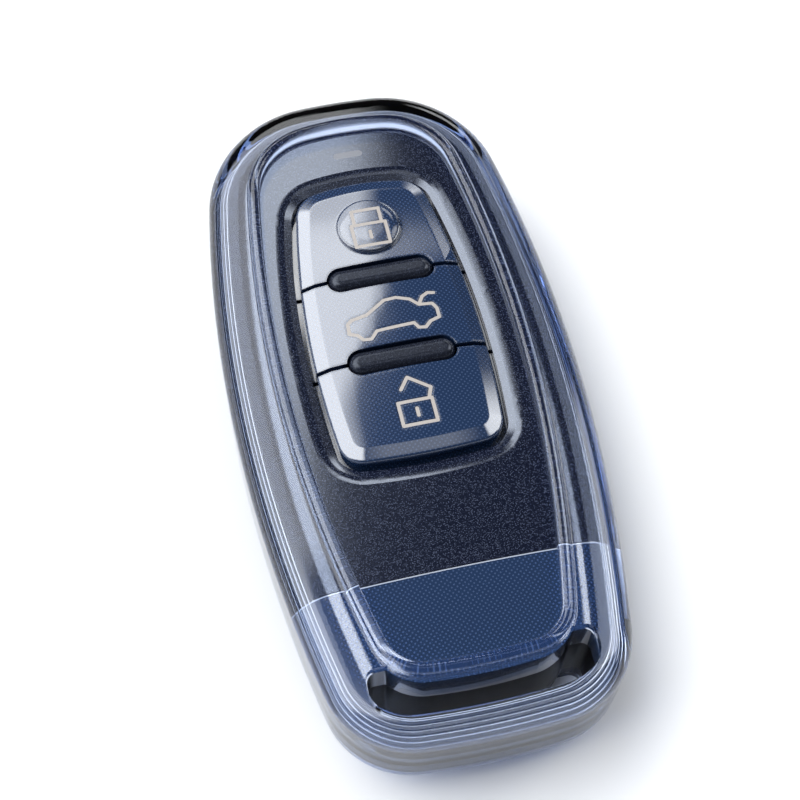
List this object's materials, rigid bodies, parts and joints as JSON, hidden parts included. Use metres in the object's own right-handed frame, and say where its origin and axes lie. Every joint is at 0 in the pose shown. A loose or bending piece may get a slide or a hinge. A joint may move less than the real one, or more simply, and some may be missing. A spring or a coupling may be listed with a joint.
{
  "type": "key fob cover",
  "caption": "Clear soft two-piece cover with a raised bead around an open front window and a key ring slot, fitted on a remote with pressable keys.",
  "frame": {"origin": "middle of the cover's flat back, which lies on the ground plane", "axes": "+X to the right of the keys, +Y towards the end with the indicator light, +Z out of the keys"},
  "size_m": [0.0396, 0.082, 0.0169],
  "materials": {
    "clear_plastic": "clear, soft, glossy",
    "satin_black": "satin with fine sparkle",
    "gloss_black": "glossy with a fine dot grain",
    "frame_black": "satin",
    "symbol_beige": "matte print",
    "smoked_window": "smoked, smooth",
    "seal_rubber": "matte",
    "board_green": "solder mask",
    "chip_black": "moulded",
    "light_white": "moulded",
    "switch_metal": "stamped",
    "cell_steel": "drawn",
    "contact_metal": "stamped",
    "key_metal": "satin"
  },
  "bodies": {
    "cover_back": {"cover_back_tray": "clear_plastic"},
    "remote": {"front_housing": "satin_black", "end_cap": "gloss_black", "rear_housing": "satin_black", "key_frame": "frame_black", "light_window": "smoked_window", "emergency_key_head": "key_metal", "housing_seal": "seal_rubber", "indicator_light": "light_white", "circuit_board": "board_green", "lock_switch": "switch_metal", "boot_switch": "switch_metal", "unlock_switch": "switch_metal", "controller_chip": "chip_black", "aerial_coil": "chip_black", "coin_cell": "cell_steel", "cell_tray": "frame_black", "upper_contact": "contact_metal", "lower_contact": "contact_metal", "emergency_key_blade": "key_metal"},
    "cover_front": {"cover_front_frame": "clear_plastic"},
    "lock_button": {"lock_key": "gloss_black", "lock_symbol": "symbol_beige"},
    "boot_button": {"boot_key": "gloss_black", "boot_symbol": "symbol_beige"},
    "unlock_button": {"unlock_key": "gloss_black", "unlock_symbol": "symbol_beige"}
  },
  "joints": [
    {"name": "remote_lift", "type": "slide", "parent": "cover_back", "child": "remote", "axis": [0, 0, 1], "range_m": [0, 0.016]},
    {"name": "front_lift", "type": "slide", "parent": "remote", "child": "cover_front", "axis": [0, 0, 1], "range_m": [0, 0.016]},
    {"name": "lock_press", "type": "slide", "parent": "remote", "child": "lock_button", "axis": [0, 0, -1], "range_m": [0, 0.00045], "stiffness_N_per_m": 3000, "springref_m": -0.0002},
    {"name": "boot_press", "type": "slide", "parent": "remote", "child": "boot_button", "axis": [0, 0, -1], "range_m": [0, 0.00045], "stiffness_N_per_m": 3000, "springref_m": -0.0002},
    {"name": "unlock_press", "type": "slide", "parent": "remote", "child": "unlock_button", "axis": [0, 0, -1], "range_m": [0, 0.00045], "stiffness_N_per_m": 3000, "springref_m": -0.0002}
  ]
}
